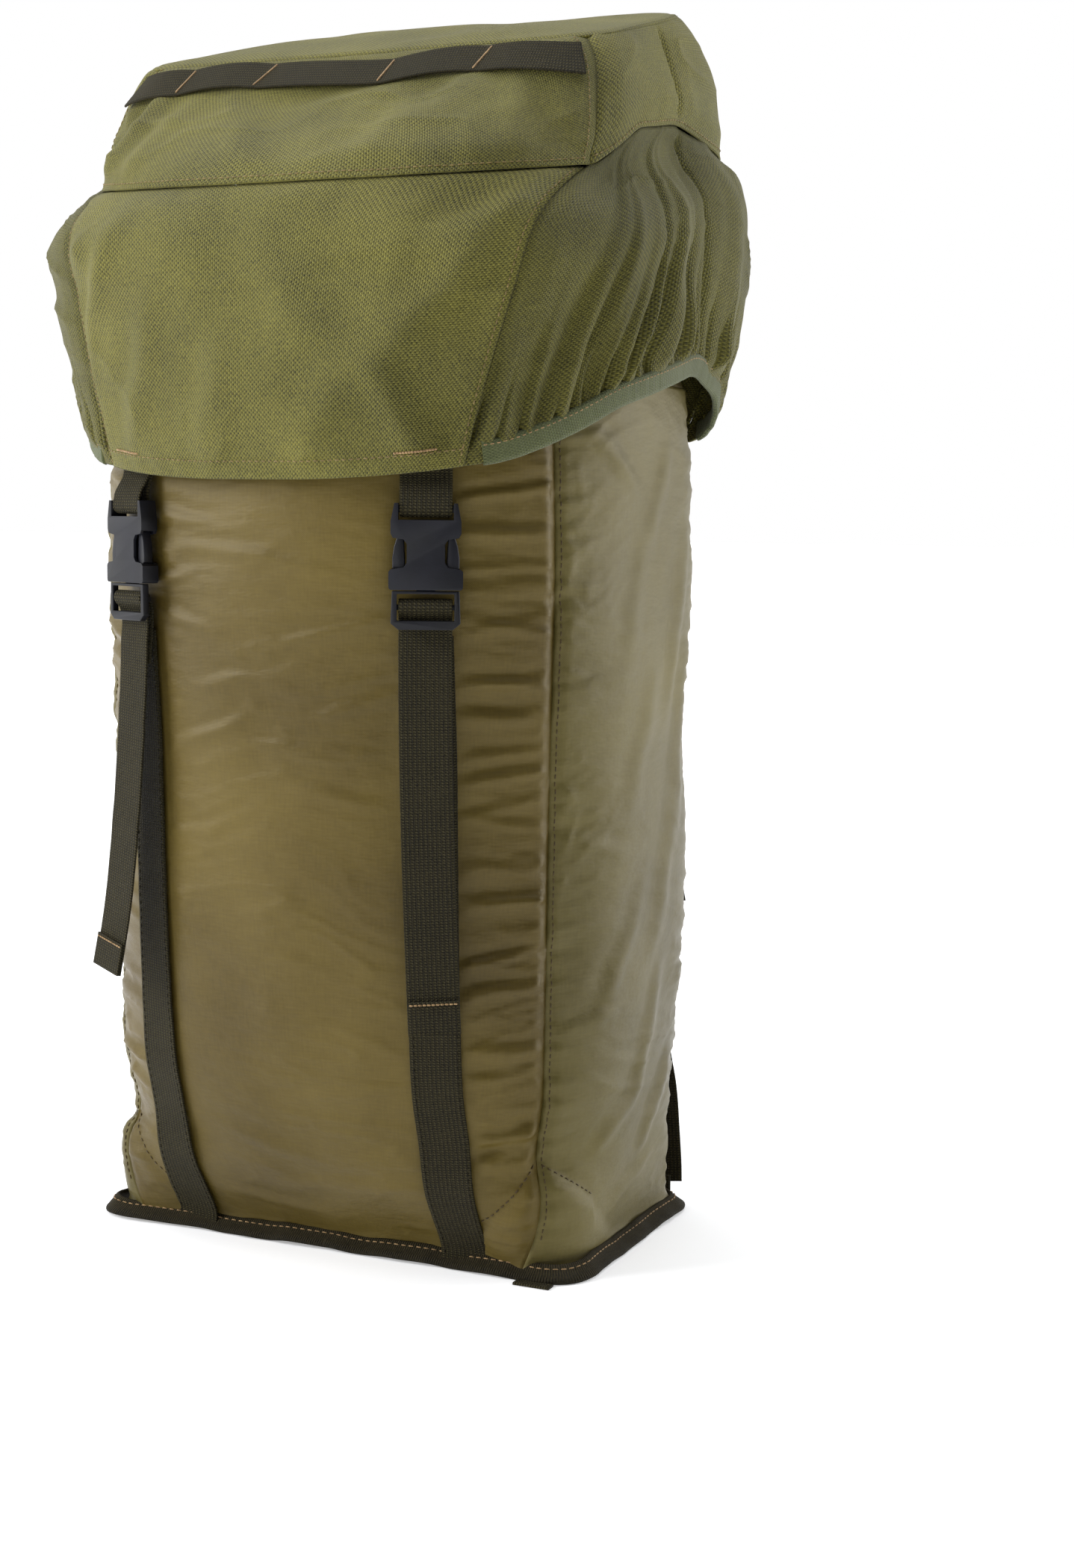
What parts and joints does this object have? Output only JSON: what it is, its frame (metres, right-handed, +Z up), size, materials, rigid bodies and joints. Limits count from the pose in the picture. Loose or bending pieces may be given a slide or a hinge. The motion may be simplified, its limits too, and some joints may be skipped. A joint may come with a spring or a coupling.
{
  "type": "lidded grab bag",
  "caption": "Soft lidded grab bag with two front straps in side-release buckles, a gathered floating lid with a zip pocket, shoulder straps and a sewn, bound base.",
  "frame": {"origin": "middle of the base's underside", "axes": "+Z up the bag, -Y out of the front with its two straps, +X to the right of a viewer who faces the front"},
  "size_m": [0.3394, 0.2783, 0.638],
  "materials": {
    "body_fabric": "thin plain-woven nylon with a sheen",
    "lid_fabric": "coarse textured nylon, matt",
    "lining_fabric": "thin nylon lining",
    "webbing": "ribbed woven webbing",
    "strap_fabric": "padded strap in coarse nylon",
    "elastic_binding": "soft folded elastic",
    "base_binding": "woven binding tape",
    "buckle_plastic": "satin moulded plastic",
    "eyelet_metal": "blackened brass",
    "zip_tape": "woven tape",
    "zip_teeth": "nylon coil",
    "zip_metal": "black coated metal"
  },
  "bodies": {
    "bag_body": {"front_panel": "body_fabric", "left_side_panel": "body_fabric", "right_side_panel": "body_fabric", "back_panel": "body_fabric", "base_panel": "body_fabric", "base_binding": "base_binding", "base_tab": "webbing", "collar": "lining_fabric", "collar_eyelets": "eyelet_metal", "left_front_strap": "webbing", "right_front_strap": "webbing", "left_shoulder_strap": "strap_fabric", "right_shoulder_strap": "strap_fabric", "left_shoulder_webbing": "webbing", "right_shoulder_webbing": "webbing", "left_ladder_lock": "buckle_plastic", "right_ladder_lock": "buckle_plastic", "haul_loop": "webbing", "left_strap_anchor": "webbing", "right_strap_anchor": "webbing"},
    "lid": {"lid_top_panel": "lid_fabric", "lid_front_upper_panel": "lid_fabric", "lid_right_upper_side": "lid_fabric", "lid_left_upper_side": "lid_fabric", "lid_rear_upper_panel": "lid_fabric", "lid_front_flap": "lid_fabric", "lid_rear_lower_panel": "lid_fabric", "lid_right_gusset": "lid_fabric", "lid_left_gusset": "lid_fabric", "lid_lining": "lining_fabric", "daisy_chain": "webbing", "left_edge_binding": "elastic_binding", "right_edge_binding": "elastic_binding", "left_buckle_tab": "webbing", "right_buckle_tab": "webbing", "left_buckle_female": "buckle_plastic", "right_buckle_female": "buckle_plastic", "zip_tape": "zip_tape", "zip_coil": "zip_teeth"},
    "zip_slider": {"zip_slider": "zip_metal"},
    "zip_pull": {"zip_pull": "webbing"},
    "left_buckle": {"left_buckle_male": "buckle_plastic", "left_strap_tail": "webbing"},
    "left_outer_arm": {"left_buckle_outer_arm": "buckle_plastic"},
    "left_inner_arm": {"left_buckle_inner_arm": "buckle_plastic"},
    "right_buckle": {"right_buckle_male": "buckle_plastic", "right_strap_tail": "webbing"},
    "right_outer_arm": {"right_buckle_outer_arm": "buckle_plastic"},
    "right_inner_arm": {"right_buckle_inner_arm": "buckle_plastic"}
  },
  "joints": [
    {"name": "lid_hinge", "type": "hinge", "parent": "bag_body", "child": "lid", "pos_m": [0, 0.087, 0.409], "axis": [-1, 0, 0], "range_deg": [0, 105]},
    {"name": "left_buckle_release", "type": "slide", "parent": "bag_body", "child": "left_buckle", "axis": [0, 0, -1], "range_m": [0, 0.03]},
    {"name": "left_outer_arm_squeeze", "type": "hinge", "parent": "left_buckle", "child": "left_outer_arm", "pos_m": [-0.09105, -0.12319, 0.3414], "axis": [0.4391, 0.8984, 0], "range_deg": [0, 8], "stiffness_Nm_per_rad": 0.3},
    {"name": "left_inner_arm_squeeze", "type": "hinge", "parent": "left_buckle", "child": "left_inner_arm", "pos_m": [-0.0702, -0.13338, 0.3414], "axis": [-0.4391, -0.8984, 0], "range_deg": [0, 8], "stiffness_Nm_per_rad": 0.3},
    {"name": "right_buckle_release", "type": "slide", "parent": "bag_body", "child": "right_buckle", "axis": [0, 0, -1], "range_m": [0, 0.03]},
    {"name": "right_outer_arm_squeeze", "type": "hinge", "parent": "right_buckle", "child": "right_outer_arm", "pos_m": [0.09105, -0.1232, 0.3414], "axis": [0.4382, -0.8989, 0], "range_deg": [0, 8], "stiffness_Nm_per_rad": 0.3},
    {"name": "right_inner_arm_squeeze", "type": "hinge", "parent": "right_buckle", "child": "right_inner_arm", "pos_m": [0.07019, -0.13337, 0.3414], "axis": [-0.4382, 0.8989, 0], "range_deg": [0, 8], "stiffness_Nm_per_rad": 0.3},
    {"name": "zip_slide", "type": "slide", "parent": "lid", "child": "zip_slider", "axis": [1, 0, 0], "range_m": [-0.188, 0]},
    {"name": "zip_pull_tilt", "type": "hinge", "parent": "zip_slider", "child": "zip_pull", "pos_m": [0.095, 0.10955, 0.5], "axis": [0, 0, 1], "range_deg": [0, 150]}
  ]
}
